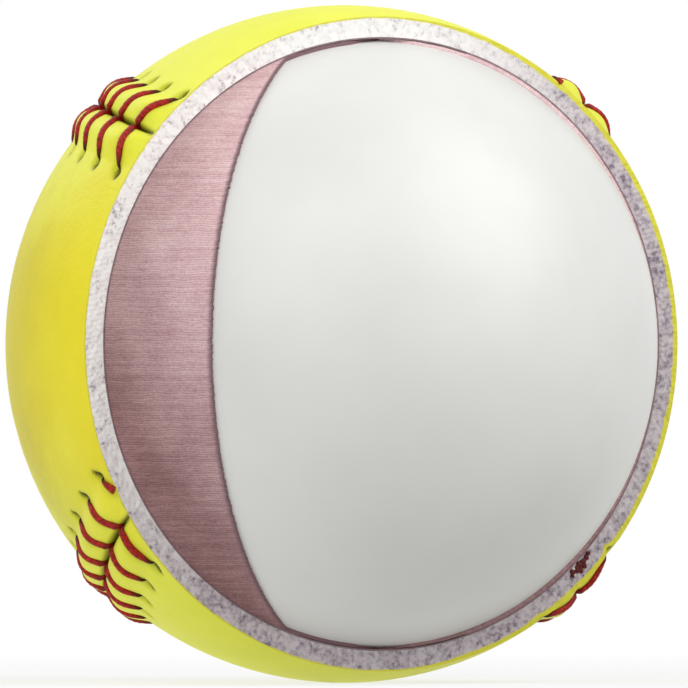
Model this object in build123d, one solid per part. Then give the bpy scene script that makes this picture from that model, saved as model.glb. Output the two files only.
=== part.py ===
from build123d import *
import os
from bisect import bisect_right
from math import asin, ceil, cos, pi, radians, sin, sqrt, tan

# A softball, cut open for display: a moulded core in a thin thread winding, a coat of
# cement, and a leather cover of two sewn panels. The opening faces -Y and takes away the
# front of the cover, so one panel is left as two lobes. Millimetres, +Z up, with the
# origin at the ball's lowest point.

# Layers, from the outside in
ball_circumference = 304.8      # round the cover, clear of the seams
cover_thickness = 2.8
cement_thickness = 0.2
winding_thickness = 0.6

# Cuts that open the ball
opening_distance = 13.0         # from the ball's centre forward to the opening's plane
winding_cut_turn = 40.5         # degrees from the opening's direction to the winding's cut

# Course of the seam on the ball
seam_swing = 0.32               # share of the third harmonic: more makes narrower waists
seam_turn = -22.3               # degrees of the seam's axis from the opening, about +Z
seam_tilt = 9.5                 # degrees of the seam's axis above level
seam_roll = 45.2                # degrees about the seam's axis

# Raised leather on each side of the seam
welt_width = 6.4
welt_height = 1.3
welt_valley = 0.3               # by how much a welt's full width would pass the seam

# Stitches
stitch_count = 88               # round the whole seam
stitch_start = 2.4              # along the seam from the front of the ball to a stitch
stitch_slant = 2.6              # from a stitch's needle hole to its valley, along the seam
needle_offset = 7.2             # from the seam to a needle hole
thread_diameter = 1.2
thread_bend = 1.0               # radius of the thread's tight bends
thread_clearance = 0.15         # round the thread in its holes, and under its ends
thread_lift = 0.2               # between the thread and the welts that it crosses

# Spacing of the points that follow the seam, and how far cuts reach past the leather
rail_step = 18.0
run_margin = 14.0
cut_reach = 3.0

ball_radius = ball_circumference / (2 * pi)
cover_inner_radius = ball_radius - cover_thickness
winding_radius = cover_inner_radius - cement_thickness
core_radius = winding_radius - winding_thickness

welt_radius = (welt_width**2 / 4 + welt_height**2) / (2 * welt_height)
welt_sink = welt_radius - welt_height
welt_offset = welt_width / 2 - welt_valley

thread_radius = thread_diameter / 2
thread_depth = cover_thickness - thread_clearance
thread_rise = thread_radius + thread_lift
hole_radius = thread_radius + thread_clearance

LEG_STEPS = 3                   # straight runs of thread over one welt
leg_radius = welt_radius + thread_radius + thread_lift
valley_angle = -asin(welt_offset / leg_radius)
needle_angle = asin((needle_offset - welt_offset) / leg_radius)
leg_step = (needle_angle - valley_angle) / LEG_STEPS
leg_corner_radius = leg_radius / cos(leg_step / 2)
valley_height = leg_corner_radius * cos(valley_angle) - welt_sink

# The seam is a closed curve with fourfold turn-and-flip symmetry about its axis
turn, tilt, roll = radians(seam_turn), radians(seam_tilt), radians(seam_roll)
seam_axis = Vector(sin(turn) * cos(tilt), -cos(turn) * cos(tilt), sin(tilt))
seam_right = Vector(cos(turn), sin(turn), 0)
seam_up = seam_axis.cross(seam_right)
seam_x = seam_right * cos(roll) + seam_up * sin(roll)
seam_y = seam_up * cos(roll) - seam_right * sin(roll)


def seam_direction(angle):
    """Direction from the ball's centre to the seam at a parameter angle."""
    first = 1 - seam_swing
    third = seam_swing
    across = first * cos(angle) + third * cos(3 * angle)
    upward = first * sin(angle) - third * sin(3 * angle)
    forward = 2 * sqrt(first * third) * sin(2 * angle)
    return seam_x * across + seam_y * upward + seam_axis * forward


# Arc length along the seam, from where it crosses the front of the ball above the opening's middle
SAMPLES = 1440
angles = [pi / 4 + 2 * pi * i / SAMPLES for i in range(SAMPLES + 1)]
lengths = [0.0]
for earlier, later in zip(angles, angles[1:]):
    chord = (seam_direction(later) - seam_direction(earlier)).length
    lengths.append(lengths[-1] + chord * ball_radius)
seam_length = lengths[-1]
stitch_pitch = seam_length / stitch_count


def ball(radius):
    """Sphere with its poles at the sides and its closing meridian at the front, in the opening."""
    return Plane((0, 0, 0), x_dir=(0, -1, 0), z_dir=(1, 0, 0)) * Sphere(radius)


def section_axes(along, aside):
    """Outward and leftward directions at a length along the seam and a distance to its left."""
    rest = along % seam_length
    i = min(bisect_right(lengths, rest), SAMPLES) - 1
    share = (rest - lengths[i]) / (lengths[i + 1] - lengths[i])
    angle = angles[i] + share * (angles[i + 1] - angles[i])
    small = pi / SAMPLES
    outward = seam_direction(angle)
    ahead = (seam_direction(angle + small) - seam_direction(angle - small)).normalized()
    leftward = outward.cross(ahead)
    swing = aside / ball_radius
    return (
        outward * cos(swing) + leftward * sin(swing),
        leftward * cos(swing) - outward * sin(swing),
    )


def on_cover(along, aside, height):
    """Point by its length along the seam, distance to the seam's left and height over the cover."""
    return section_axes(along, aside)[0] * (ball_radius + height)


def round_welt(along, side, angle, distance):
    """Point round a welt's axis, by its angle from straight out towards the welt's outer foot."""
    outward, leftward = section_axes(along, side * welt_offset)
    axis = outward * (ball_radius - welt_sink)
    return axis + outward * (distance * cos(angle)) + leftward * (side * distance * sin(angle))


LOBE = 1                        # side of the seam on which the lobes lie
BACK = -1                       # side of the seam on which the back panel lies


class SeamRun:
    """One half of the seam, as far as it lies behind the opening, and a margin past each end."""

    def __init__(self, start):
        steps = [start + length for length in lengths if length <= seam_length / 2]
        kept = [along for along in steps if on_cover(along, 0, 0).Y > -opening_distance]
        self.first = kept[0] - run_margin
        self.last = kept[-1] + run_margin
        self.middle = (self.first + self.last) / 2

    def rail(self, aside, height):
        """Smooth curve beside the run."""
        count = ceil((self.last - self.first) / rail_step)
        step = (self.last - self.first) / count
        return Spline([on_cover(self.first + i * step, aside, height) for i in range(count + 1)])

    def parted(self, leather):
        """Solids on the two sides of the radial strip along the run, where two panels meet."""
        lower = self.rail(0, -cover_thickness - cut_reach)
        upper = self.rail(0, welt_height + cut_reach)
        strip = Face.make_surface_from_curves(lower.edge(), upper.edge())
        return ShapeList(leather.split(strip, keep=Keep.ALL)).solids()

    def welt(self, side):
        """Raised leather on one side of the run: a round bar, less what lies inside or across."""
        axis = self.rail(side * welt_offset, -welt_sink)
        bar = sweep(Plane(axis @ 0, z_dir=axis % 0) * Circle(welt_radius), path=axis)
        bar = (bar - ball(cover_inner_radius)) & kept_side
        return self.parted(bar).sort_by(SortBy.VOLUME)[-1]

    def valleys(self):
        """Lengths along the seam at which the stitches of the run cross it."""
        first = ceil((self.first - stitch_start) / stitch_pitch)
        last = int((self.last - stitch_start) / stitch_pitch)
        return [stitch_start + number * stitch_pitch for number in range(first, last + 1)]

    def needle_holes(self, side):
        """Holes through the leather on one side of the run, one for each stitch."""
        hole = Cylinder(hole_radius, 2 * (cover_thickness + cut_reach))
        places = [on_cover(v - stitch_slant, side * needle_offset, 0) for v in self.valleys()]
        return [Plane(place, z_dir=place) * hole for place in places]

    def stitches(self):
        """The stitches of the run, as far as the opening."""
        return Compound([stitch(valley) for valley in self.valleys()]) & kept_side


def stitch_leg(valley, side):
    """Corners and bends of half a stitch, from the end in its needle hole to the last welt corner."""
    needle = valley - stitch_slant
    corners = [
        (on_cover(needle, side * needle_offset, -thread_depth), thread_bend),
        (on_cover(needle, side * needle_offset, thread_rise), thread_bend),
    ]
    for i in range(1, LEG_STEPS):
        along = needle + stitch_slant * i / LEG_STEPS
        angle = needle_angle - i * leg_step
        corners.append((round_welt(along, side, angle, leg_corner_radius), leg_radius))
    return corners


def stitch(valley):
    """One V of thread: up a needle hole, over both welts and down the hole on the other side."""
    apex = (on_cover(valley, 0, valley_height), thread_bend)
    corners = stitch_leg(valley, LOBE) + [apex] + stitch_leg(valley, BACK)[::-1]
    route = rounded_route(corners)
    across = section_axes(valley, 0)[1]
    section = Plane(route @ 0, x_dir=across, z_dir=route % 0) * Circle(thread_radius)
    return sweep(section, path=route).solid()


def rounded_route(corners):
    """Straight runs joined by tangent arcs of the wanted radius, as far as the runs allow."""
    edges = []
    end = corners[0][0]
    for (before, _), (corner, bend), (after, _) in zip(corners, corners[1:], corners[2:]):
        back = before - corner
        onward = after - corner
        half_turn = radians(180 - back.get_angle(onward)) / 2
        reach = min(bend * tan(half_turn), 0.45 * min(back.length, onward.length))
        radius = reach / tan(half_turn)
        start = corner + back.normalized() * reach
        finish = corner + onward.normalized() * reach
        inward = (back.normalized() + onward.normalized()).normalized()
        middle = corner + inward * (radius / cos(half_turn) - radius)
        edges.append(Edge.make_line(end, start))
        edges.append(Edge.make_three_point_arc(start, middle, finish))
        end = finish
    edges.append(Edge.make_line(end, corners[-1][0]))
    return Wire(edges)


# Half spaces for the two cuts
reach = 4 * ball_radius
half_space = Box(reach, reach, reach, align=(Align.CENTER, Align.MIN, Align.CENTER))
kept_side = Pos(0, -opening_distance, 0) * half_space
cut_front = Pos(0, -opening_distance, 0) * Rot(0, 0, 180) * half_space
cut_right = Rot(0, 0, 180 + winding_cut_turn) * half_space

left_run = SeamRun(0)
right_run = SeamRun(seam_length / 2)


def cover_piece(runs, side, aim):
    """Leather on one side of the given seam runs, nearest to an aimed point."""
    leather = (ball(ball_radius) - ball(cover_inner_radius)) & kept_side
    for run in runs:
        leather = run.parted(leather).sort_by_distance(aim)[0]
    holes = []
    for run in runs:
        leather += run.welt(side)
        holes += run.needle_holes(side)
    return leather - holes


core = ball(core_radius)
winding = ball(winding_radius) - ball(core_radius) - (cut_front & cut_right)
cement_coat = (ball(cover_inner_radius) - ball(winding_radius)) & kept_side

left_aim = on_cover(left_run.middle, LOBE * 4 * welt_width, -cover_thickness / 2)
right_aim = on_cover(right_run.middle, LOBE * 4 * welt_width, -cover_thickness / 2)
back_aim = on_cover(left_run.middle, BACK * 2 * welt_width, -cover_thickness / 2)
left_lobe = cover_piece([left_run], LOBE, left_aim)
right_lobe = cover_piece([right_run], LOBE, right_aim)
back_panel = cover_piece([left_run, right_run], BACK, back_aim)

nodes = {
    "core": core,
    "winding": winding,
    "cement_coat": cement_coat,
    "cover_left_lobe": left_lobe,
    "cover_right_lobe": right_lobe,
    "cover_back_panel": back_panel,
    "left_seam_stitches": left_run.stitches(),
    "right_seam_stitches": right_run.stitches(),
}

os.makedirs("parts", exist_ok=True)
for name, shape in nodes.items():
    export_step(Pos(0, 0, ball_radius) * shape, f"parts/{name}.step")
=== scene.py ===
import bmesh
import bpy
import numpy as np
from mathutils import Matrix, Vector


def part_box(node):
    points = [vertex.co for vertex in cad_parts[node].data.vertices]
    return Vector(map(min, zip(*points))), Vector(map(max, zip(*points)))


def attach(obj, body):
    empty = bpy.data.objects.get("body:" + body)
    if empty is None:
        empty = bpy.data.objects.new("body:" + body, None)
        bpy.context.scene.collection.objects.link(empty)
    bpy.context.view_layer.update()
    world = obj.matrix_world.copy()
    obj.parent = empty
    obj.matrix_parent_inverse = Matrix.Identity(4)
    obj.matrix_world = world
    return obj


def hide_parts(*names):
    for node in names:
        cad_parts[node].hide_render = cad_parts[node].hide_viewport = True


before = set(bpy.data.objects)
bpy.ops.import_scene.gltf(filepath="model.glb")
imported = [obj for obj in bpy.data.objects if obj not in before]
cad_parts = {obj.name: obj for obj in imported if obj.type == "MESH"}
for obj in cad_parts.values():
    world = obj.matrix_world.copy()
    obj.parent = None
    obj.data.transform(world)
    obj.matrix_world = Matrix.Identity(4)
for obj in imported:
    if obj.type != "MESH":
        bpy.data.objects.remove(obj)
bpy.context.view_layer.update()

# Core: a ball of firm polyurethane foam with a smooth, slightly glossy skin, poured into a polished
# two-part mould. Nothing fixes it: the winding and the cover hold it from all sides.
MM = 0.001
core_low, core_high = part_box("core")
core_radius = (core_high.x - core_low.x) / 2
ball_centre = np.array((core_low + core_high) / 2)
ball_radius = ball_centre[2]
CORE_RINGS = 150
CORE_SPOKES = 240
skin_ripple = 0.012 * MM
RIPPLE_WAVES = np.array([[310.0, 190.0, 240.0], [-170.0, 330.0, 205.0]])
RIPPLE_STARTS = np.array([1.0, 2.2])
WELD_DISTANCE = 0.0005 * MM
SHARP_EDGE = np.radians(50.0)


def linear(code):
    """Scene-linear colour of an sRGB hex code."""
    srgb = np.array([int(code[i:i + 2], 16) for i in (1, 3, 5)]) / 255
    rgb = np.where(srgb <= 0.04045, srgb / 12.92, ((srgb + 0.055) / 1.055) ** 2.4)
    return (*rgb, 1.0)


def add(tree, kind, inputs, stops=(), **settings):
    """Node of a kind, with its settings, and values or other nodes' outputs given to its inputs.

    Stops are pairs of a position and a hex code, for a node that ramps colours."""
    node = tree.nodes.new(kind)
    for name, value in settings.items():
        setattr(node, name, value)
    for name, value in inputs.items():
        if isinstance(value, bpy.types.NodeSocket):
            tree.links.new(value, node.inputs[name])
        else:
            node.inputs[name].default_value = value
    for i, (position, code) in enumerate(stops):
        elements = node.color_ramp.elements
        element = elements[i] if i < 2 else elements.new(position)
        element.position = position
        element.color = linear(code)
    return node


def new_finish(name):
    """Empty material and its shader."""
    finish = bpy.data.materials.new(name)
    finish.use_nodes = True
    return finish, finish.node_tree, finish.node_tree.nodes["Principled BSDF"]


def cells(rows, columns, row_stride=1, column_stride=1):
    """Corners and sizes of the faces of a grid of points.

    A face spans a stride of grid cells each way, and takes in every point along the grid's borders."""
    index = np.arange(rows * columns).reshape(rows, columns)
    if row_stride == 1 and column_stride == 1:
        quads = np.stack([index[:-1, :-1], index[:-1, 1:], index[1:, 1:], index[1:, :-1]], -1)
        return quads.ravel(), np.full((rows - 1) * (columns - 1), 4)
    faces = []
    for r in range(0, rows - 1, row_stride):
        for c in range(0, columns - 1, column_stride):
            r2 = r + row_stride
            c2 = c + column_stride
            low = index[r, c:c2 + 1] if r == 0 else index[r, [c, c2]]
            high = index[r2, c:c2 + 1] if r2 == rows - 1 else index[r2, [c, c2]]
            near = index[r:r2 + 1, c] if c == 0 else index[[r, r2], c]
            far = index[r:r2 + 1, c2] if c2 == columns - 1 else index[[r, r2], c2]
            faces.append(np.concatenate([low[:-1], far[:-1], high[:0:-1], near[:0:-1]]))
    return np.concatenate(faces), np.array([len(face) for face in faces])


def make_piece(name, patches, finishes):
    """Mesh object of several grids of points, joined where their points meet, faces outward.

    Each patch is a dict: points, and if wanted strides, finish (an index) and marks (named numbers
    for its points, all 0 where a patch has none)."""
    named = sorted({mark for patch in patches for mark in patch.get("marks", {})})
    points, corners, sizes, finish_of = [], [], [], []
    marks = {mark: [] for mark in named}
    count = 0
    for patch in patches:
        rows, columns = patch["points"].shape[:2]
        face_corners, face_sizes = cells(rows, columns, *patch.get("strides", (1, 1)))
        points.append(patch["points"].reshape(-1, 3))
        corners.append(face_corners + count)
        sizes.append(face_sizes)
        finish_of.append(np.full(len(face_sizes), patch.get("finish", 0)))
        for mark in named:
            values = patch.get("marks", {}).get(mark, 0.0)
            marks[mark].append(np.broadcast_to(values, (rows, columns)).ravel())
        count += rows * columns
    used, corners = np.unique(np.concatenate(corners), return_inverse=True)
    points = np.concatenate(points)[used]
    sizes = np.concatenate(sizes)
    mesh = bpy.data.meshes.new(name)
    mesh.vertices.add(len(points))
    mesh.vertices.foreach_set("co", points.astype(np.float32).ravel())
    mesh.loops.add(len(corners))
    mesh.loops.foreach_set("vertex_index", corners.ravel().astype(np.int32))
    mesh.polygons.add(len(sizes))
    mesh.polygons.foreach_set("loop_start", (np.cumsum(sizes) - sizes).astype(np.int32))
    mesh.polygons.foreach_set("material_index", np.concatenate(finish_of).astype(np.int32))
    mesh.update(calc_edges=True)
    for mark in named:
        values = np.concatenate(marks[mark])[used]
        attribute = mesh.attributes.new(mark, "FLOAT", "POINT")
        attribute.data.foreach_set("value", values.astype(np.float32))
    shape = bmesh.new()
    shape.from_mesh(mesh)
    bmesh.ops.remove_doubles(shape, verts=shape.verts, dist=WELD_DISTANCE)
    bmesh.ops.recalc_face_normals(shape, faces=shape.faces)
    shape.to_mesh(mesh)
    shape.free()
    mesh.shade_smooth()
    mesh.set_sharp_from_angle(angle=SHARP_EDGE)
    for finish in finishes:
        mesh.materials.append(finish)
    piece = bpy.data.objects.new(name, mesh)
    bpy.context.scene.collection.objects.link(piece)
    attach(piece, "root")
    return piece


def around_centre(longitude, latitude, radius):
    """Points round the ball's centre: longitude from the front towards the right, latitude upward."""
    level = radius * np.cos(latitude)
    across = level * np.sin(longitude)
    forward = -level * np.cos(longitude)
    return ball_centre + np.stack([across, forward, radius * np.sin(latitude) + 0 * across], -1)


core_latitude = np.linspace(-np.pi / 2, np.pi / 2, CORE_RINGS + 1)[:, None]
core_longitude = np.linspace(0, 2 * np.pi, CORE_SPOKES + 1)[None, :]
core_points = around_centre(core_longitude, core_latitude, core_radius)
core_ripple = np.sin(core_points @ RIPPLE_WAVES.T + RIPPLE_STARTS).sum(-1, keepdims=True)
core_points = ball_centre + (core_points - ball_centre) * (1 + core_ripple * skin_ripple / core_radius)

# Polyurethane foam with a skin from a polished mould: an even off-white with a broad, soft highlight, and
# an orange peel that is only just felt. Its peel is drawn a little coarser than the real one, to show.
foam_cloud = 18 * MM
foam_peel = 0.67 * MM
moulded_foam, tree, shader = new_finish("moulded_foam")
place = add(tree, "ShaderNodeTexCoord", {}).outputs["Object"]
cloud = add(tree, "ShaderNodeTexNoise", {"Vector": place, "Scale": 1 / foam_cloud, "Detail": 3.0})
peel = add(tree, "ShaderNodeTexNoise", {"Vector": place, "Scale": 1 / foam_peel, "Detail": 2.0})
foam_colour = add(
    tree, "ShaderNodeValToRGB",
    {"Fac": cloud.outputs["Fac"]},
    stops=[(0.35, "#e3e3e0"), (0.65, "#e8e8e5")],
).outputs["Color"]
tree.links.new(foam_colour, shader.inputs["Base Color"])
foam_gloss = add(
    tree, "ShaderNodeMapRange",
    {"Value": cloud.outputs["Fac"], "To Min": 0.37, "To Max": 0.40},
)
tree.links.new(foam_gloss.outputs["Result"], shader.inputs["Roughness"])
peel_bump = add(
    tree, "ShaderNodeBump",
    {"Height": peel.outputs["Fac"], "Strength": 0.06, "Distance": 0.05 * MM},
)
tree.links.new(peel_bump.outputs["Normal"], shader.inputs["Normal"])
shader.inputs["Specular IOR Level"].default_value = 0.5

core = make_piece("core_ball", [{"points": core_points}], [moulded_foam])
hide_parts("core")

# Winding: fine cotton and polyester yarn, laid on the core in level rows by a winding machine until
# it is covered. In front it is cut straight down to the core and peeled off on the right.
winding_low, winding_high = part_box("winding")
winding_radius = (winding_high.z - winding_low.z) / 2
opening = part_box("cover_back_panel")[0].y
winding_cut_turn = np.radians(40.5)
cut_longitude = winding_cut_turn - np.pi / 2
yarn_pitch = 0.36 * MM
yarn_depth = 0.10 * MM
yarn_fray = 0.06 * MM
yarn_unevenness = 0.010 * MM
yarn_wobble = 0.012 * MM
core_clearance = 0.03 * MM
# Reach of the painted shade along the winding's cut edge.
cut_shade_reach = 0.16 * MM
ROW_STEPS = 4
CAP_RINGS = 8
HIDDEN_TURN = 0.9
HIDDEN_STEPS = 30
SEEN_STEPS = 24
wound_latitude = np.radians(66.0)
row_count = int(round(2 * wound_latitude * winding_radius / yarn_pitch))
rng = np.random.default_rng(11)
row_shade = rng.random(row_count + 1)
row_level = rng.normal(0, yarn_unevenness, row_count + 1)
row_end = rng.normal(0, yarn_fray, row_count + 1)

wound = np.linspace(-wound_latitude, wound_latitude, row_count * ROW_STEPS + 1)
cap = np.linspace(wound_latitude, np.pi / 2, CAP_RINGS + 1)[1:]
yarn_latitude = np.concatenate([-cap[::-1], wound, cap])
row_place = np.clip((yarn_latitude + wound_latitude) / (2 * wound_latitude) * row_count, 0, row_count)
row = np.minimum(row_place.astype(int), row_count - 1)
round_yarn = np.sqrt(np.clip(1 - (2 * (row_place - row) - 1) ** 2, 0, 1))
yarn_radius = winding_radius - yarn_depth * (1 - round_yarn) + row_level[row] * round_yarn
latitude = yarn_latitude[:, None]


def fade(value, start, finish):
    """Smooth step from 0 at start to 1 at finish."""
    share = np.clip((value - start) / (finish - start), 0, 1)
    return share * share * (3 - 2 * share)


def front_edge(radius):
    """Longitude at which a level circle of the ball meets the opening's plane, for each latitude."""
    forward = np.maximum(radius * np.cos(yarn_latitude), 1e-9)
    return np.arccos(np.clip(-opening / forward, -1, 1))


hidden_share = np.linspace(0, 1, HIDDEN_STEPS + 1)[:-1] * HIDDEN_TURN
seen_share = HIDDEN_TURN + np.linspace(0, 1, SEEN_STEPS + 1) * (1 - HIDDEN_TURN)
turn_share = np.concatenate([hidden_share, seen_share])[None, :]


def row_drift(longitude):
    """Angle by which rows rise and fall: two waves round the ball, none at the poles or a row's start."""
    slow = 0.0013 * np.sin(31 * longitude + 17 * latitude)
    quick = 0.0011 * np.sin(67 * longitude - 29 * latitude)
    return (slow + quick) * np.cos(latitude) * fade(turn_share, 0, 0.02)


def yarn_rise(longitude):
    """Height by which a yarn wobbles along its row: a wave with its own length and start in each row."""
    own = row_shade[row][:, None]
    return yarn_wobble * np.sin(longitude * (9 + 5 * own) + 40 * own) * round_yarn[:, None]


yarn_sides = []
for side_radius in (yarn_radius, np.full_like(yarn_radius, core_radius + core_clearance)):
    right_edge = front_edge(side_radius)
    left_edge = np.minimum(right_edge, -cut_longitude)
    frayed = np.where(left_edge < right_edge, row_end[row] * round_yarn / winding_radius, 0)
    left_edge = (left_edge - frayed)[:, None]
    longitude = right_edge[:, None] + turn_share * (2 * np.pi - left_edge - right_edge[:, None])
    height = side_radius[:, None] + yarn_rise(longitude)
    yarn_sides.append(around_centre(longitude, latitude + row_drift(longitude), height))
outer_yarn, inner_yarn = yarn_sides
turn_length = 1.7 * np.pi * winding_radius
edge_distance = (1 - turn_share) * turn_length
# Marks for painted shade: in the grooves between rows, and fading in from the cut edge, with the cut face
# dark all over.
yarn_marks = {
    "yarn_shade": row_shade[row][:, None],
    "yarn_gap": 1 - round_yarn[:, None],
    "yarn_cut": np.exp(-edge_distance / cut_shade_reach),
}
yarn_patches = [
    {"points": outer_yarn, "marks": yarn_marks},
    {"points": inner_yarn, "strides": (ROW_STEPS, 1), "marks": yarn_marks},
]
for column, cut_dark in ((0, 0.0), (-1, 1.0)):
    wall = np.stack([outer_yarn[:, column], inner_yarn[:, column]], 1)
    yarn_patches.append({"points": wall, "marks": {**yarn_marks, "yarn_cut": cut_dark}})

# Spun cotton and polyester, wound dry: dull mauve rows with a little fuzz. Painted shade darkens them near
# the leather and low down, less towards the cut;
# more painted shade lies in the grooves between rows and along the cut edge. The rows are drawn at twice
# the real yarn's width, to show.
yarn_fuzz = 0.38 * MM
strand_width = 0.3 * MM
yarn_patch = 8 * MM
unshaded_line, rim_line = -11 * MM, 14.3 * MM
unshaded_height, shaded_height = 75 * MM, 8 * MM
wound_yarn, tree, shader = new_finish("wound_yarn")
place = add(tree, "ShaderNodeTexCoord", {}).outputs["Object"]
shade = add(tree, "ShaderNodeAttribute", {}, attribute_name="yarn_shade").outputs["Fac"]
gap = add(tree, "ShaderNodeAttribute", {}, attribute_name="yarn_gap").outputs["Fac"]
cut = add(tree, "ShaderNodeAttribute", {}, attribute_name="yarn_cut").outputs["Fac"]
fuzz = add(tree, "ShaderNodeTexNoise", {"Vector": place, "Scale": 1 / yarn_fuzz, "Detail": 3.0})
tint = add(tree, "ShaderNodeTexNoise", {"Vector": place, "Scale": 1 / yarn_patch, "Detail": 2.0})
level_stretch = add(tree, "ShaderNodeMapping", {"Vector": place, "Scale": (0.14, 0.14, 1.0)})
strands = add(
    tree, "ShaderNodeTexNoise",
    {"Vector": level_stretch.outputs["Vector"], "Scale": 1 / strand_width, "Detail": 3.0, "Roughness": 0.6},
)
mottle = add(tree, "ShaderNodeMath", {0: shade, 1: 0.08}, operation="MULTIPLY")
for pattern, weight in ((tint, 0.31), (fuzz, 0.34), (strands, 0.27)):
    mottle = add(
        tree, "ShaderNodeMath",
        {0: pattern.outputs["Fac"], 1: weight, 2: mottle.outputs[0]},
        operation="MULTIPLY_ADD",
    )
# An unshaded copy of the yarn's colour and a darker copy for painted shade.
unshaded_yarn = add(
    tree, "ShaderNodeValToRGB",
    {"Fac": mottle.outputs[0]},
    stops=[(0.36, "#d8adb1"), (0.50, "#edcacc"), (0.64, "#fbe2e2")],
).outputs["Color"]
shaded_yarn = add(
    tree, "ShaderNodeValToRGB",
    {"Fac": mottle.outputs[0]},
    stops=[(0.36, "#7c5758"), (0.50, "#977071"), (0.64, "#b08888")],
).outputs["Color"]
# Painted shade: the yarn is mixed towards its darker copy near the leather's rim and low down.
axes = add(tree, "ShaderNodeSeparateXYZ", {"Vector": place})
leftward = add(
    tree, "ShaderNodeMath",
    {0: axes.outputs["X"], 1: -0.6, 2: axes.outputs["Y"]},
    operation="MULTIPLY_ADD",
)
near_rim = add(
    tree, "ShaderNodeMapRange",
    {"Value": leftward.outputs[0], "From Min": unshaded_line, "From Max": rim_line, "To Max": 0.55},
    interpolation_type="SMOOTHSTEP",
)
low_down = add(
    tree, "ShaderNodeMapRange",
    {"Value": axes.outputs["Z"], "From Min": unshaded_height, "From Max": shaded_height, "To Max": 0.85},
    interpolation_type="SMOOTHSTEP",
)
yarn_painted_shade = add(
    tree, "ShaderNodeMath",
    {0: near_rim.outputs["Result"], 1: low_down.outputs["Result"]},
    operation="ADD", use_clamp=True,
)
yarn_tone = add(
    tree, "ShaderNodeMix",
    {"Factor": yarn_painted_shade.outputs[0], "A": unshaded_yarn, "B": shaded_yarn},
    data_type="RGBA",
)
# Painted shade: a little darker in the grooves between rows, and dark along the winding's cut edge.
gap_dark = add(tree, "ShaderNodeMath", {0: gap, 1: 0.07}, operation="MULTIPLY")
dark = add(tree, "ShaderNodeMath", {0: gap_dark.outputs[0], 1: cut}, operation="MAXIMUM")
yarn_mix = add(
    tree, "ShaderNodeMix",
    {"Factor": dark.outputs[0], "A": yarn_tone.outputs["Result"], "B": linear("#82636a")},
    data_type="RGBA",
)
tree.links.new(yarn_mix.outputs["Result"], shader.inputs["Base Color"])
fuzz_bump = add(
    tree, "ShaderNodeBump",
    {"Height": fuzz.outputs["Fac"], "Strength": 0.35, "Distance": 0.05 * MM},
)
tree.links.new(fuzz_bump.outputs["Normal"], shader.inputs["Normal"])
shader.inputs["Roughness"].default_value = 0.78
shader.inputs["Sheen Weight"].default_value = 0.12
shader.inputs["Specular IOR Level"].default_value = 0.25

winding = make_piece("yarn_winding", yarn_patches, [wound_yarn])
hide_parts("winding")

# Cement coat: latex rubber cement, brushed on the winding and dried, which glues the cover down. Only
# its thin edge shows, between the yarn and the leather.
# Dried latex: a dull mauve-brown line with the streaks that the brush left.
brush_streak = 1.4 * MM
dried_latex, tree, shader = new_finish("dried_latex")
place = add(tree, "ShaderNodeTexCoord", {}).outputs["Object"]
brushing = add(tree, "ShaderNodeTexNoise", {"Vector": place, "Scale": 1 / brush_streak, "Detail": 3.0})
latex_colour = add(
    tree, "ShaderNodeValToRGB",
    {"Fac": brushing.outputs["Fac"]},
    stops=[(0.3, "#786166"), (0.7, "#957d80")],
).outputs["Color"]
tree.links.new(latex_colour, shader.inputs["Base Color"])
latex_bump = add(
    tree, "ShaderNodeBump",
    {"Height": brushing.outputs["Fac"], "Strength": 0.3, "Distance": 0.1 * MM},
)
tree.links.new(latex_bump.outputs["Normal"], shader.inputs["Normal"])
shader.inputs["Roughness"].default_value = 0.5
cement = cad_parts["cement_coat"]
cement.data.materials.clear()
cement.data.materials.append(dried_latex)

# Cover: leather dyed bright yellow, die-cut as two waisted panels and stretched over the glued ball.
# The sewing thread pulls the panels' edges up into two rounded welts, one on each side of the seam.
cover_thickness = 2.8 * MM
seam_swing = 0.32
seam_turn, seam_tilt, seam_roll = np.radians([-22.3, 9.5, 45.2])
STITCH_COUNT = 88
stitch_start = 2.4 * MM
stitch_slant = 2.6 * MM
needle_offset = 7.2 * MM
welt_middle = 2.9 * MM
welt_reach = 3.75 * MM
welt_rise = 1.3 * MM
trim_lead, trim_reach = 0.4 * MM, 3.6 * MM
roll_depth, roll_width = 0.75 * MM, 0.38 * MM
groove_depth, groove_width = 0.40 * MM, 0.66 * MM
groove_start, groove_full = 0.2 * MM, 1.4 * MM
groove_fading, groove_end = 6.4 * MM, 7.6 * MM
swell_height, swell_width = 0.25 * MM, 1.7 * MM
dimple_depth, dimple_width = 0.75 * MM, 0.72 * MM
crease_depth, crease_width = 0.25 * MM, 0.42 * MM
crease_offset, crease_length = 8.0 * MM, 0.8 * MM
CREASE_RUN = 1.4
press_width = 1.0 * MM
press_fading, press_end = 7.6 * MM, 9.2 * MM
hole_width, hole_length = 0.46 * MM, 1.3 * MM
hole_offset = needle_offset + 0.2 * MM
valley_width = 0.42 * MM
fibre_height = 0.028 * MM
cut_hollow = 0.05 * MM
band_width = 9.9 * MM
band_blend = 9.0 * MM
edge_lines = np.array([0, 0.12, 0.26, 0.42, 0.6, 0.8]) * MM
band_lines = np.concatenate([edge_lines, np.linspace(1.05 * MM, band_width, 31)])
SEAM_SAMPLES = 2880
SEAM_STEP = 0.002
RUN_SAMPLES = 1500
RUN_STEPS = 720
LOBE_ROWS = 24
BACK_COLUMNS = 240
EDGE_ROWS = 10
band_cells = (12, 1)
lobe_cells = ((1, 4), (2, 10))
back_cells = ((4, 3), (20, 20))
LOBE, BACK = 1, -1

seam_axis = np.array([
    np.sin(seam_turn) * np.cos(seam_tilt),
    -np.cos(seam_turn) * np.cos(seam_tilt),
    np.sin(seam_tilt),
])
seam_right = np.array([np.cos(seam_turn), np.sin(seam_turn), 0.0])
seam_up = np.cross(seam_axis, seam_right)
seam_x = seam_right * np.cos(seam_roll) + seam_up * np.sin(seam_roll)
seam_y = seam_up * np.cos(seam_roll) - seam_right * np.sin(seam_roll)


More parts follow.
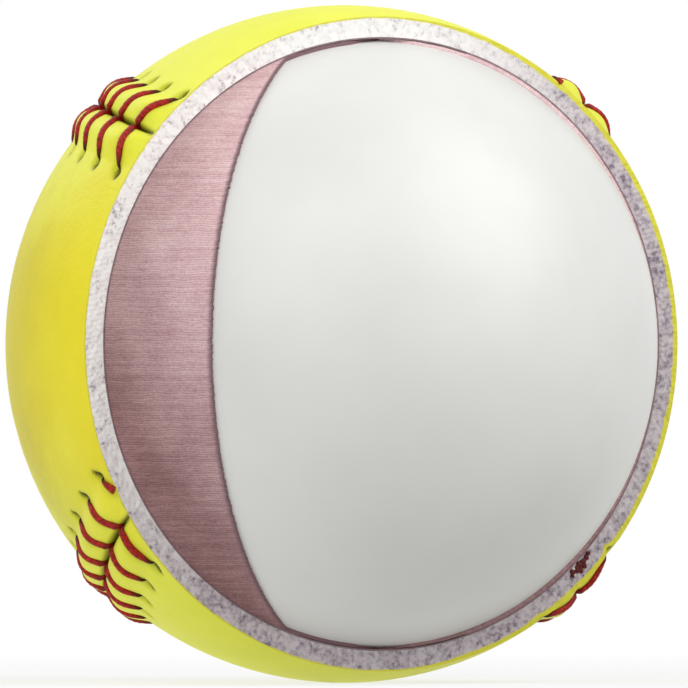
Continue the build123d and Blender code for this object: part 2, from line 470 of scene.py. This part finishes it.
def seam_direction(angle):
    """Direction from the ball's centre to the seam: a turn, plus a counter-turn three times as fast."""
    first, third = 1 - seam_swing, seam_swing
    across = first * np.cos(angle) + third * np.cos(3 * angle)
    upward = first * np.sin(angle) - third * np.sin(3 * angle)
    forward = 2 * np.sqrt(first * third) * np.sin(2 * angle)
    return across[..., None] * seam_x + upward[..., None] * seam_y + forward[..., None] * seam_axis


seam_angles = np.pi / 4 + np.linspace(0, 2 * np.pi, SEAM_SAMPLES + 1)
seam_chords = np.linalg.norm(np.diff(seam_direction(seam_angles), axis=0), axis=1) * ball_radius
seam_lengths = np.concatenate([[0.0], np.cumsum(seam_chords)])
seam_length = seam_lengths[-1]
stitch_pitch = seam_length / STITCH_COUNT


def over_cover(along, aside, height):
    """Points by length along the seam, distance to the seam's left and height over the cover."""
    angle = np.interp(along % seam_length, seam_lengths, seam_angles)
    outward = seam_direction(angle)
    ahead = seam_direction(angle + SEAM_STEP) - seam_direction(angle - SEAM_STEP)
    leftward = np.cross(outward, ahead / np.linalg.norm(ahead, axis=-1, keepdims=True))
    swing = (aside / ball_radius)[..., None]
    direction = outward * np.cos(swing) + leftward * np.sin(swing)
    return ball_centre + direction * (ball_radius + height)[..., None]


def welt_profile(aside):
    """Height of a welt by the distance from the seam: a round crown, soft feet, an edge rolled down."""
    share = np.clip((aside - welt_middle) / welt_reach, -1, 1)
    return welt_rise * (1 - share**2) ** 2 - roll_depth * np.exp(-(aside / roll_width) ** 2)


def from_thread(along, aside):
    """Distance along the seam from the nearest stitch's leg, which slants back to its needle hole."""
    place = along + stitch_slant * np.minimum(aside / needle_offset, CREASE_RUN) - stitch_start
    return place - stitch_pitch * np.round(place / stitch_pitch)


def leather_height(along, aside, side):
    """Height over the plain cover: a welt that is trimmed down to the opening's edge, with a groove where
    a stitch presses, a swell between stitches and a dimple and crease at each needle hole."""
    behind = over_cover(along, side * aside, 0 * aside)[..., 1] - opening
    gap = from_thread(along, aside)
    under = fade(aside, groove_end, groove_fading) * fade(aside, groove_start, groove_full)
    welt = welt_profile(aside) * fade(behind, -trim_lead, trim_reach)
    groove = groove_depth * np.exp(-(gap / groove_width) ** 2) * under * (0.35 + 0.65 * welt / welt_rise)
    swell = swell_height * (1 - np.exp(-(gap / swell_width) ** 2)) * welt / welt_rise
    dimple = dimple_depth * np.exp(-(gap**2 + (aside - needle_offset) ** 2) / dimple_width**2)
    beyond = (aside - crease_offset) / crease_length
    crease = crease_depth * np.exp(-(gap / crease_width) ** 2 - beyond**2)
    return (welt + swell - groove - dimple - crease) * fade(aside, band_width, band_blend)


def run_ends(start, aside, height):
    """Lengths along half of the seam at which lines beside it pass behind the opening, and out again."""
    steps = start + np.linspace(0, seam_length / 2, RUN_SAMPLES)
    lines = over_cover(steps[None, :], aside[:, None] + 0 * steps, height[:, None] + 0 * steps)
    behind = lines[..., 1] - opening
    line = np.arange(len(aside))
    enter = (behind > 0).argmax(1)
    leave = len(steps) - 1 - (behind > 0)[:, ::-1].argmax(1)
    ends = []
    for outside, inside in ((enter - 1, enter), (leave + 1, leave)):
        share = behind[line, outside] / (behind[line, outside] - behind[line, inside])
        ends.append(steps[outside] + share * (steps[inside] - steps[outside]))
    return ends


def band(start, side, inner):
    """Grid of leather beside a run of the seam: rows lie at rising distances, columns follow the run."""
    aside = band_lines
    level = np.full_like(aside, -cover_thickness if inner else 0.0)
    first, last = run_ends(start, side * aside, level)
    along = first[:, None] + (last - first)[:, None] * np.linspace(0, 1, RUN_STEPS + 1)
    aside = aside[:, None] + 0 * along
    height = level[:, None] + 0 * along if inner else leather_height(along, aside, side)
    points = over_cover(along, side * aside, height)
    points[:, [0, -1], 1] = opening
    gap = from_thread(along, aside)
    # Painted shade marks: a dull green along the groove that each stitch's leg presses, and near-black in
    # the needle holes and down the seam's valley.
    press = np.exp(-(gap / press_width) ** 2) * fade(aside, press_end, press_fading)
    beyond = (aside - hole_offset) / hole_length
    width = hole_width * np.sqrt(np.clip(1 - beyond**2, 0.01, 1))
    hole = fade(1 - (gap / width) ** 2 - beyond**2, -0.5, 0.6)
    valley = np.exp(-(aside / valley_width) ** 2)
    return points, {"press": press, "hole": np.maximum(hole, valley)}


def rim_arc(start, finish, count, through):
    """Points on the opening's edge between two of its points, on the side that an angle names."""
    spread = np.stack([start, finish]) - ball_centre
    angle = np.arctan2(spread[:, 2], spread[:, 0]) - through
    angle = through + (angle + np.pi) % (2 * np.pi) - np.pi
    angle = np.linspace(angle[0], angle[1], count)
    reach = np.linspace(*np.hypot(spread[:, 0], spread[:, 2]), count)
    points = ball_centre + np.stack([reach * np.cos(angle), 0 * angle, reach * np.sin(angle)], -1)
    points[:, 1] = opening
    return points


def to_shell(points, radius):
    """Points moved in or out to a distance from the ball's centre."""
    spread = points - ball_centre
    return ball_centre + spread * (radius / np.linalg.norm(spread, axis=-1, keepdims=True))


def lobe_middle(edge, through):
    """Grid from the inner border of a lobe's band to the opening, lines drawn straight on the ball."""
    rim = rim_arc(edge[0], edge[-1], len(edge), through)
    share = np.linspace(0, 1, LOBE_ROWS + 1)[:, None, None]
    points = to_shell(edge * (1 - share) + rim * share, np.linalg.norm(edge[len(edge) // 2] - ball_centre))
    points[0] = edge
    points[-1] = rim
    points[:, 0] = edge[0]
    points[:, -1] = edge[-1]
    return points


def back_middle(left, right):
    """Grid of the back panel between its two bands, blended from all four borders at once."""
    high = rim_arc(left[0], right[0], BACK_COLUMNS + 1, np.pi / 2)
    low = rim_arc(left[-1], right[-1], BACK_COLUMNS + 1, -np.pi / 2)
    down = np.linspace(0, 1, len(left))[:, None, None]
    across = np.linspace(0, 1, BACK_COLUMNS + 1)[None, :, None]
    sideways = left[:, None] * (1 - across) + right[:, None] * across
    upright = high[None] * (1 - down) + low[None] * down
    corners = (left[0] * (1 - across) + right[0] * across) * (1 - down)
    corners = corners + (left[-1] * (1 - across) + right[-1] * across) * down
    points = to_shell(sideways + upright - corners, np.linalg.norm(left[len(left) // 2] - ball_centre))
    points[:, 0] = left
    points[:, -1] = right
    points[0] = high
    points[-1] = low
    return points


FIBRE_COUNT = 14
wave_rng = np.random.default_rng(5)
fibre_waves = wave_rng.normal(0, 1, (FIBRE_COUNT, 3)) * np.linspace(1800, 7000, FIBRE_COUNT)[:, None]
fibre_phases = wave_rng.random(FIBRE_COUNT) * 2 * np.pi


def leather_edge(outer, inner):
    """Grid from the outer to the inner border of a panel, roughened by torn fibres where it is cut."""
    share = np.linspace(0, 1, EDGE_ROWS + 1)[:, None, None]
    points = outer[None] * (1 - share) + inner[None] * share
    on_cut = np.abs(points[..., 1] - opening) < 1e-6
    fibres = np.sin(points @ fibre_waves.T + fibre_phases).sum(-1) * fibre_height
    inset = np.sin(np.pi * share[..., 0])
    points[..., 1] += on_cut * (fibres * fade(inset, 0, 0.5) + cut_hollow * inset)
    return {"points": points, "finish": 1, "marks": {"cut_depth": share[..., 0]}}


def panel_patches(bands, middle, rims):
    """Patches of one cover piece, from its bands and middle, each given on the outside and the inside."""
    patches = []
    for (outer, marks), (inner, _) in bands:
        patches.append({"points": outer, "marks": marks})
        patches.append({"points": inner, "strides": band_cells, "finish": 1, "marks": {"cut_depth": 1.0}})
        wall = leather_edge(outer[0], inner[0])
        # The seam's wall is painted dark all over: painted shade.
        wall_marks = {**wall["marks"], "hole": 1.0, "press": 1.0}
        patches.append({"points": wall["points"], "strides": (EDGE_ROWS // 2, 1), "marks": wall_marks})
        for line in (np.s_[:, 0], np.s_[:, -1]):
            patches.append(leather_edge(outer[line], inner[line]))
    outer, inner, outer_strides, inner_strides = middle
    patches.append({"points": outer, "strides": outer_strides})
    patches.append({"points": inner, "strides": inner_strides, "finish": 1, "marks": {"cut_depth": 1.0}})
    for line in rims:
        patches.append(leather_edge(outer[line], inner[line]))
    return patches


LEFT_RUN, RIGHT_RUN = 0.0, seam_length / 2
left_lobe_band = [band(LEFT_RUN, LOBE, inner) for inner in (False, True)]
right_lobe_band = [band(RIGHT_RUN, LOBE, inner) for inner in (False, True)]
back_left_band = [band(LEFT_RUN, BACK, inner) for inner in (False, True)]
back_right_band = [band(RIGHT_RUN, BACK, inner) for inner in (False, True)]
left_middle = [lobe_middle(points[-1], np.pi) for points, _ in left_lobe_band]
right_middle = [lobe_middle(points[-1], 0.0) for points, _ in right_lobe_band]
back_centre = [
    back_middle(left[-1], right[-1, ::-1])
    for (left, _), (right, _) in zip(back_left_band, back_right_band)
]

# Cowhide, tanned, dyed optic yellow and lightly sealed: a satin skin with a fine pebbled grain. Painted
# light makes it lighter and more lime towards top and bottom, painted shade makes it darker and more
# mustard round the back, dull green along the thread's grooves and near-black in its needle holes and the
# seam's valley.
dye_patch = 14 * MM
pebble_size = 0.67 * MM
pore_size = 0.38 * MM
lime_from, lime_full = 20 * MM, 44 * MM
mustard_line, lemon_line = 10 * MM, -12 * MM
yellow_leather, tree, shader = new_finish("yellow_leather")
place = add(tree, "ShaderNodeTexCoord", {}).outputs["Object"]
press = add(tree, "ShaderNodeAttribute", {}, attribute_name="press").outputs["Fac"]
hole = add(tree, "ShaderNodeAttribute", {}, attribute_name="hole").outputs["Fac"]
dye = add(
    tree, "ShaderNodeTexNoise",
    {"Vector": place, "Scale": 1 / dye_patch, "Detail": 4.0, "Roughness": 0.6},
)
pebble = add(
    tree, "ShaderNodeTexVoronoi",
    {"Vector": place, "Scale": 1 / pebble_size},
    feature="SMOOTH_F1",
)
pore = add(tree, "ShaderNodeTexNoise", {"Vector": place, "Scale": 1 / pore_size, "Detail": 3.0})
axes = add(tree, "ShaderNodeSeparateXYZ", {"Vector": place})
rise = add(tree, "ShaderNodeMath", {0: axes.outputs["Z"], 1: float(ball_radius)}, operation="SUBTRACT")
rise = add(tree, "ShaderNodeMath", {0: rise.outputs[0]}, operation="ABSOLUTE")
rise = add(
    tree, "ShaderNodeMath",
    {0: dye.outputs["Fac"], 1: 0.02, 2: rise.outputs[0]},
    operation="MULTIPLY_ADD",
)
# Painted light: a lighter, more lime yellow towards the top and the bottom.
lime = add(
    tree, "ShaderNodeMapRange",
    {"Value": rise.outputs[0], "From Min": lime_from, "From Max": lime_full},
    interpolation_type="SMOOTHSTEP",
)
# Painted shade: a darker, more mustard yellow round the back, lemon towards the opening.
front = add(
    tree, "ShaderNodeMapRange",
    {"Value": axes.outputs["Y"], "From Min": mustard_line, "From Max": lemon_line},
    interpolation_type="SMOOTHSTEP",
)
mustard_shade = add(
    tree, "ShaderNodeValToRGB",
    {"Fac": dye.outputs["Fac"]},
    stops=[(0.3, "#d2c41c"), (0.7, "#dccf28")],
).outputs["Color"]
lemon_dye = add(
    tree, "ShaderNodeValToRGB",
    {"Fac": dye.outputs["Fac"]},
    stops=[(0.3, "#ecdd25"), (0.7, "#f5e836")],
).outputs["Color"]
lime_light = add(
    tree, "ShaderNodeValToRGB",
    {"Fac": dye.outputs["Fac"]},
    stops=[(0.3, "#e6ea3c"), (0.7, "#f0f252")],
).outputs["Color"]
dye_with_back_shade = add(
    tree, "ShaderNodeMix",
    {"Factor": front.outputs["Result"], "A": mustard_shade, "B": lemon_dye},
    data_type="RGBA",
)
dye_light_and_shade = add(
    tree, "ShaderNodeMix",
    {"Factor": lime.outputs["Result"], "A": dye_with_back_shade.outputs["Result"], "B": lime_light},
    data_type="RGBA",
)
# Painted shade: dull green along the thread's grooves.
press_shade_share = add(tree, "ShaderNodeMath", {0: press, 1: 0.5}, operation="MULTIPLY")
groove_shaded = add(
    tree, "ShaderNodeMix",
    {"Factor": press_shade_share.outputs[0], "A": dye_light_and_shade.outputs["Result"], "B": linear("#a3b02c")},
    data_type="RGBA",
)
# Painted shade: near-black in the needle holes, down the seam's valley and on the seam's wall.
shaded = add(tree, "ShaderNodeMath", {0: hole, 1: 0.95}, operation="MULTIPLY")
leather_mix = add(
    tree, "ShaderNodeMix",
    {"Factor": shaded.outputs[0], "A": groove_shaded.outputs["Result"], "B": linear("#3a3b14")},
    data_type="RGBA",
)
tree.links.new(leather_mix.outputs["Result"], shader.inputs["Base Color"])
grain = add(
    tree, "ShaderNodeMath",
    {0: pore.outputs["Fac"], 1: 0.5, 2: pebble.outputs["Distance"]},
    operation="MULTIPLY_ADD",
)
grain_bump = add(
    tree, "ShaderNodeBump",
    {"Height": grain.outputs[0], "Strength": 0.42, "Distance": 0.12 * MM},
)
tree.links.new(grain_bump.outputs["Normal"], shader.inputs["Normal"])
leather_gloss = add(
    tree, "ShaderNodeMapRange",
    {"Value": dye.outputs["Fac"], "To Min": 0.40, "To Max": 0.52},
)
tree.links.new(leather_gloss.outputs["Result"], shader.inputs["Roughness"])
shader.inputs["Specular IOR Level"].default_value = 0.16

# The same hide cut across: a matt felt of pale fibres with lavender-grey flecks, with painted shade that
# makes it greyer and darker to the right and below, and a ragged skin of dye along its outer edge.
fleck_size = 0.75 * MM
strand_size = 3 * MM
pale_line, grey_line = -85 * MM, -30 * MM
thin_dye_line, thick_dye_line = -5 * MM, 30 * MM
cut_leather, tree, shader = new_finish("cut_leather")
place = add(tree, "ShaderNodeTexCoord", {}).outputs["Object"]
axes = add(tree, "ShaderNodeSeparateXYZ", {"Vector": place})
fleck = add(
    tree, "ShaderNodeTexNoise",
    {"Vector": place, "Scale": 1 / fleck_size, "Detail": 5.0, "Roughness": 0.68},
)
strand = add(
    tree, "ShaderNodeTexNoise",
    {"Vector": place, "Scale": 1 / strand_size, "Detail": 3.0, "Distortion": 1.2},
)
# Painted shade: the flesh turns grey and darker towards the right and the bottom.
slope = add(
    tree, "ShaderNodeMath",
    {0: axes.outputs["Z"], 1: -0.9, 2: axes.outputs["X"]},
    operation="MULTIPLY_ADD",
)
flesh_shade = add(
    tree, "ShaderNodeMapRange",
    {"Value": slope.outputs[0], "From Min": pale_line, "From Max": grey_line},
    interpolation_type="SMOOTHSTEP",
)
flecked = add(
    tree, "ShaderNodeMath",
    {0: strand.outputs["Fac"], 1: 0.5, 2: fleck.outputs["Fac"]},
    operation="MULTIPLY_ADD",
)
pale = add(
    tree, "ShaderNodeValToRGB",
    {"Fac": flecked.outputs[0]},
    stops=[(0.53, "#a79fae"), (0.63, "#ebe6e3"), (0.75, "#fdfbf8")],
).outputs["Color"]
grey = add(
    tree, "ShaderNodeValToRGB",
    {"Fac": flecked.outputs[0]},
    stops=[(0.56, "#7d7280"), (0.68, "#b3a8af"), (0.84, "#d4cacd")],
).outputs["Color"]
flesh = add(
    tree, "ShaderNodeMix",
    {"Factor": flesh_shade.outputs["Result"], "A": pale, "B": grey},
    data_type="RGBA",
)
depth = add(tree, "ShaderNodeAttribute", {}, attribute_name="cut_depth").outputs["Fac"]
ragged = add(
    tree, "ShaderNodeMath",
    {0: strand.outputs["Fac"], 1: -0.16, 2: depth},
    operation="MULTIPLY_ADD",
)
dye_depth = add(
    tree, "ShaderNodeMapRange",
    {"Value": axes.outputs["X"], "From Min": thin_dye_line, "From Max": thick_dye_line, "To Max": 0.18},
    interpolation_type="SMOOTHSTEP",
)
undyed = add(
    tree, "ShaderNodeMath",
    {0: ragged.outputs[0], 1: dye_depth.outputs["Result"]},
    operation="SUBTRACT",
)
undyed = add(
    tree, "ShaderNodeMapRange",
    {"Value": undyed.outputs[0], "From Min": -0.05, "From Max": 0.03},
    interpolation_type="SMOOTHSTEP",
)
edge_mix = add(
    tree, "ShaderNodeMix",
    {"Factor": undyed.outputs["Result"], "A": linear("#e2dc4a"), "B": flesh.outputs["Result"]},
    data_type="RGBA",
)
tree.links.new(edge_mix.outputs["Result"], shader.inputs["Base Color"])
fibre_bump = add(
    tree, "ShaderNodeBump",
    {"Height": flecked.outputs[0], "Strength": 0.6, "Distance": 0.15 * MM},
)
tree.links.new(fibre_bump.outputs["Normal"], shader.inputs["Normal"])
shader.inputs["Roughness"].default_value = 0.85
shader.inputs["Specular IOR Level"].default_value = 0.2

leathers = [yellow_leather, cut_leather]
left_lobe = make_piece(
    "leather_left_lobe",
    panel_patches([left_lobe_band], [*left_middle, *lobe_cells], [np.s_[-1]]),
    leathers,
)
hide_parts("cover_left_lobe")
right_lobe = make_piece(
    "leather_right_lobe",
    panel_patches([right_lobe_band], [*right_middle, *lobe_cells], [np.s_[-1]]),
    leathers,
)
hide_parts("cover_right_lobe")
back_panel = make_piece(
    "leather_back_panel",
    panel_patches([back_left_band, back_right_band], [*back_centre, *back_cells], [np.s_[0], np.s_[-1]]),
    leathers,
)
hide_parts("cover_back_panel")

# Stitches: waxed three-ply red thread, sewn by hand through both panels' needle holes. Each stitch is
# a V whose two legs press into the welts and dive between the panels; the cut shows their severed ends.
thread_radius = 0.62 * MM
thread_lay = 2.3 * MM
THREAD_SEAT = 0.42
THREAD_WIDE, THREAD_HIGH = 1.04, 0.9
TIP_WIDTH = 0.22
VALLEY_PINCH = 0.2
PLY_DEPTH = 0.10
apex_offset = 0.05 * MM
hole_sink = 1.5 * MM
valley_sink = 0.9 * MM
PLIES = 3
LEG_STEPS = 34
LEG_SIDES = 18
LEG_TRIES = 80
LEAST_LEG = 0.2
leg_share = np.linspace(0, 1, LEG_STEPS + 1)
ply_angle = np.linspace(0, 2 * np.pi, LEG_SIDES + 1)


def leg_line(valley, side, share):
    """Middle of a stitch's leg: from down its needle hole, over the welt, to down in the valley."""
    aside = needle_offset * (1 - share) + apex_offset * share
    along = valley - stitch_slant * (1 - share) + 0 * share
    sink = hole_sink * fade(share, 0.13, 0.0) + valley_sink * fade(share, 0.93, 1.0)
    height = leather_height(along, aside, side) + THREAD_SEAT * thread_radius - sink
    return over_cover(along, side * aside, height)


def run_legs(start):
    """Points of the legs of half of the seam, cut off at the opening, and marks for painted shade between
    plies and at the tips.
    """
    numbers = np.arange(STITCH_COUNT)
    valleys = (stitch_start + numbers * stitch_pitch)[:, None]
    valleys = valleys[(valleys[:, 0] > start) & (valleys[:, 0] < start + seam_length / 2)]
    grids = []
    for side in (LOBE, BACK):
        tries = np.linspace(0, 1, LEG_TRIES + 1)[None, :]
        behind = leg_line(valleys, side, tries)[..., 1] > opening
        whole = behind.mean(1) > LEAST_LEG
        kept = valleys[whole]
        first = tries[0, behind[whole].argmax(1)][:, None]
        last = tries[0, LEG_TRIES - behind[whole][:, ::-1].argmax(1)][:, None]
        share = first + (last - first) * leg_share
        middle = leg_line(kept, side, share)
        ahead = np.gradient(middle, axis=1)
        ahead /= np.linalg.norm(ahead, axis=-1, keepdims=True)
        outward = middle - ball_centre
        across = np.cross(ahead, outward / np.linalg.norm(outward, axis=-1, keepdims=True))
        across /= np.linalg.norm(across, axis=-1, keepdims=True)
        over = np.cross(across, ahead)
        steps = np.linalg.norm(np.diff(middle, axis=1), axis=-1)
        length = np.concatenate([np.zeros((len(kept), 1)), np.cumsum(steps, 1)], 1)
        lay = ply_angle - side * 2 * np.pi * length[..., None] / thread_lay
        ply = np.abs(np.cos(lay * PLIES / 2))
        taper = TIP_WIDTH + (1 - TIP_WIDTH) * fade(share, 0.0, 0.45)
        taper = taper * (1 - VALLEY_PINCH * fade(share, 0.8, 1.0))
        taper[:, [0, -1]] = 0
        radius = thread_radius * taper[..., None] * (1 - PLY_DEPTH + PLY_DEPTH * ply)
        sideways = (THREAD_WIDE * radius * np.cos(ply_angle))[..., None] * across[:, :, None]
        upward = (THREAD_HIGH * radius * np.sin(ply_angle))[..., None] * over[:, :, None]
        points = middle[:, :, None] + sideways + upward
        # Painted shade at the tips, where a leg dives into its needle hole or the valley.
        tip = np.maximum(fade(share, 0.42, 0.1), 0.7 * fade(share, 0.8, 1.0))
        grids += [
            {"points": grid, "marks": {"ply": 1 - strands, "tip": end[:, None]}}
            for grid, strands, end in zip(points, ply, tip)
        ]
    return grids


STUB_WIDTHS = np.array([0.0, 1.0, 1.04, 1.0, 0.8, 0.0])[:, None]
STUB_LEVELS = np.array([1.5, 1.5, 0.0, -0.12, -0.2, -0.22])[:, None] * MM
STUB_SIDES = 12
stub_angle = np.linspace(0, 2 * np.pi, STUB_SIDES + 1)[None, :]
BARE_RADIUS = 0.28
DARK_TIP = 0.88


def severed_ends(along, places):
    """Short stubs of thread in the leather's cut edge, each a lobed circle carried along a blunt profile.

    A place is a distance from the seam, a depth and a radius, in millimetres. The thinnest are bare."""
    stubs = []
    for aside, depth, radius in places:
        centre = over_cover(np.array(along), np.array(aside * MM), np.array(-depth * MM))
        centre[1] = opening
        wide = radius * MM * STUB_WIDTHS * (1 + 0.12 * np.cos(3 * stub_angle + 5 * aside))
        level = STUB_LEVELS + 0 * stub_angle
        stub = centre + np.stack([wide * np.cos(stub_angle), level, wide * np.sin(stub_angle)], -1)
        bare_end = float(radius < BARE_RADIUS)
        stubs.append({"points": stub, "marks": {"tip": DARK_TIP * (1 - bare_end), "bare": bare_end}})
    return stubs


# Polyester thread, laid in three plies and drawn through wax: a deep red with a low shine. Painted shade
# makes it almost black between its plies and where it dives into the leather, and darkens the severed stubs
# that are not bare.
wax_patch = 0.55 * MM
waxed_thread, tree, shader = new_finish("waxed_thread")
place = add(tree, "ShaderNodeTexCoord", {}).outputs["Object"]
ply = add(tree, "ShaderNodeAttribute", {}, attribute_name="ply").outputs["Fac"]
tip = add(tree, "ShaderNodeAttribute", {}, attribute_name="tip").outputs["Fac"]
wax = add(tree, "ShaderNodeTexNoise", {"Vector": place, "Scale": 1 / wax_patch, "Detail": 3.0})
thread_colour = add(
    tree, "ShaderNodeValToRGB",
    {"Fac": wax.outputs["Fac"]},
    stops=[(0.3, "#7c0e06"), (0.55, "#b81b0b"), (0.8, "#d83414")],
).outputs["Color"]
# Painted shade: near-black between the plies and at the tips.
between = add(tree, "ShaderNodeMath", {0: ply, 1: 0.6}, operation="MULTIPLY")
ended = add(tree, "ShaderNodeMath", {0: tip, 1: 0.95}, operation="MULTIPLY")
dark = add(tree, "ShaderNodeMath", {0: between.outputs[0], 1: ended.outputs[0]}, operation="MAXIMUM")
thread_mix = add(
    tree, "ShaderNodeMix",
    {"Factor": dark.outputs[0], "A": thread_colour, "B": linear("#2a0b09")},
    data_type="RGBA",
)
bare = add(tree, "ShaderNodeAttribute", {}, attribute_name="bare").outputs["Fac"]
bare_mix = add(
    tree, "ShaderNodeMix",
    {"Factor": bare, "A": thread_mix.outputs["Result"], "B": linear("#d8ccc4")},
    data_type="RGBA",
)
tree.links.new(bare_mix.outputs["Result"], shader.inputs["Base Color"])
wax_bump = add(
    tree, "ShaderNodeBump",
    {"Height": wax.outputs["Fac"], "Strength": 0.3, "Distance": 0.06 * MM},
)
tree.links.new(wax_bump.outputs["Normal"], shader.inputs["Normal"])
shader.inputs["Roughness"].default_value = 0.5
shader.inputs["Specular IOR Level"].default_value = 0.25

severed_places = [
    (0.9, 2.35, 0.42), (1.6, 2.1, 0.5), (2.4, 2.3, 0.52), (3.2, 2.2, 0.5),
    (4.0, 2.3, 0.42), (4.7, 2.5, 0.34), (2.0, 1.55, 0.4), (2.9, 1.6, 0.36),
    (0.5, 1.9, 0.3), (1.3, 2.6, 0.25), (0.8, 1.7, 0.22), (3.5, 1.75, 0.2),
]
cut_depth = np.array([-1.5 * MM])
right_run_start = run_ends(RIGHT_RUN, 0 * cut_depth, cut_depth)[0][0]
right_stubs = severed_ends(right_run_start, severed_places)
left_stitches = make_piece("thread_left_seam", run_legs(LEFT_RUN), [waxed_thread])
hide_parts("left_seam_stitches")
right_stitches = make_piece("thread_right_seam", run_legs(RIGHT_RUN) + right_stubs, [waxed_thread])
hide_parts("right_seam_stitches")

# Stage: a pale level floor in a white room, large soft lamps above on the right, in front and behind on
# the left, and a long-lens camera level with the ball's middle. The floor is a lit table, brighter behind.
floor_reach = 4.0
camera_azimuth = np.radians(-25.0)
camera_distance = 4.0
picture_width = 0.0985
SENSOR = 36.0
table_turn = 50 * MM
shadow_reach, white_reach = 100 * MM, 400 * MM
WHITE = linear("#ffffff")
ROOM_LIGHT = 0.26
TABLE_FRONT, TABLE_BACK = 0.38, 0.74
SHADOW_LIGHT = 0.72


def white_room_rays(tree):
    """1 for the rays that show the white room itself, seen straight, in gloss or through glass, else 0."""
    rays = add(tree, "ShaderNodeLightPath", {}).outputs
    rays_seen = rays["Is Camera Ray"]
    for name in ("Is Glossy Ray", "Is Transmission Ray"):
        either = add(tree, "ShaderNodeMath", {0: rays_seen, 1: rays[name]}, operation="MAXIMUM")
        rays_seen = either.outputs[0]
    return rays_seen


floor_mesh = bpy.data.meshes.new("studio_floor")
floor_corners = [(x * floor_reach, y * floor_reach, 0.0) for x, y in ((-1, -1), (1, -1), (1, 1), (-1, 1))]
floor_mesh.from_pydata(floor_corners, [], [(0, 1, 2, 3)])
floor = bpy.data.objects.new("studio_floor", floor_mesh)
bpy.context.scene.collection.objects.link(floor)
pale_floor = bpy.data.materials.new("pale_floor")
pale_floor.use_nodes = True
tree = pale_floor.node_tree
tree.nodes.clear()
matt = add(tree, "ShaderNodeBsdfDiffuse", {"Color": linear("#767674")})
place = add(tree, "ShaderNodeTexCoord", {}).outputs["Object"]
axes = add(tree, "ShaderNodeSeparateXYZ", {"Vector": place})
behind = add(
    tree, "ShaderNodeMath",
    {0: axes.outputs["X"], 1: -0.6, 2: axes.outputs["Y"]},
    operation="MULTIPLY_ADD",
)
table_glow = add(
    tree, "ShaderNodeMapRange",
    {
        "Value": behind.outputs[0], "From Min": -table_turn, "From Max": table_turn,
        "To Min": TABLE_FRONT, "To Max": TABLE_BACK,
    },
    interpolation_type="SMOOTHSTEP",
)
table = add(tree, "ShaderNodeEmission", {"Color": WHITE, "Strength": table_glow.outputs["Result"]})
lit = add(tree, "ShaderNodeAddShader", {0: matt.outputs[0], 1: table.outputs[0]})
shaded = add(tree, "ShaderNodeBsdfDiffuse", {"Color": linear("#898989")})
glow = add(tree, "ShaderNodeEmission", {"Color": WHITE, "Strength": SHADOW_LIGHT})
near = add(tree, "ShaderNodeAddShader", {0: shaded.outputs[0], 1: glow.outputs[0]})
white = add(tree, "ShaderNodeEmission", {"Color": WHITE, "Strength": 1.0})
away = add(tree, "ShaderNodeVectorMath", {0: place}, operation="LENGTH")
far = add(
    tree, "ShaderNodeMapRange",
    {"Value": away.outputs["Value"], "From Min": shadow_reach, "From Max": white_reach},
    interpolation_type="SMOOTHSTEP",
)
shown = add(
    tree, "ShaderNodeMixShader",
    {0: far.outputs["Result"], 1: near.outputs[0], 2: white.outputs[0]},
)
mixed = add(
    tree, "ShaderNodeMixShader",
    {0: white_room_rays(tree), 1: lit.outputs[0], 2: shown.outputs[0]},
)
add(tree, "ShaderNodeOutputMaterial", {"Surface": mixed.outputs[0]})
floor_mesh.materials.append(pale_floor)

world = bpy.data.worlds.new("white_room")
bpy.context.scene.world = world
world.use_nodes = True
tree = world.node_tree
tree.nodes.clear()
room = add(tree, "ShaderNodeBackground", {"Color": WHITE, "Strength": ROOM_LIGHT})
white = add(tree, "ShaderNodeBackground", {"Color": WHITE, "Strength": 1.0})
mixed = add(
    tree, "ShaderNodeMixShader",
    {0: white_room_rays(tree), 1: room.outputs[0], 2: white.outputs[0]},
)
add(tree, "ShaderNodeOutputWorld", {"Surface": mixed.outputs[0]})

to_camera = np.array([np.sin(camera_azimuth), -np.cos(camera_azimuth), 0.0])
to_right = np.array([np.cos(camera_azimuth), np.sin(camera_azimuth), 0.0])
to_top = np.array([0.0, 0.0, 1.0])


def aim(thing, direction, distance):
    """Puts a lamp or camera at a distance from the ball's centre, looking at it."""
    direction = direction / np.linalg.norm(direction)
    thing.location = ball_centre + direction * distance
    thing.rotation_euler = Vector(-direction).to_track_quat("-Z", "Y").to_euler()


for lamp_name, direction, distance, size, power in (
    ("softbox_right", 0.70 * to_right + 0.66 * to_top + 0.26 * to_camera, 0.60, 0.46, 2.2),
    ("softbox_front", -0.30 * to_right + 0.54 * to_top + 0.79 * to_camera, 0.90, 0.80, 3.85),
    ("softbox_back", -0.60 * to_right + 0.70 * to_top - 0.45 * to_camera, 0.70, 0.50, 1.75),
):
    lamp = bpy.data.lights.new(lamp_name, "AREA")
    lamp.shape = "SQUARE"
    lamp.size = size
    lamp.energy = power
    lamp_object = bpy.data.objects.new(lamp_name, lamp)
    bpy.context.scene.collection.objects.link(lamp_object)
    aim(lamp_object, direction, distance)

camera_data = bpy.data.cameras.new("long_lens")
camera_data.sensor_width = SENSOR
camera_data.lens = SENSOR * camera_distance / picture_width
camera = bpy.data.objects.new("long_lens", camera_data)
bpy.context.scene.collection.objects.link(camera)
aim(camera, to_camera, camera_distance)
bpy.context.scene.camera = camera
bpy.context.scene.view_settings.view_transform = "Standard"
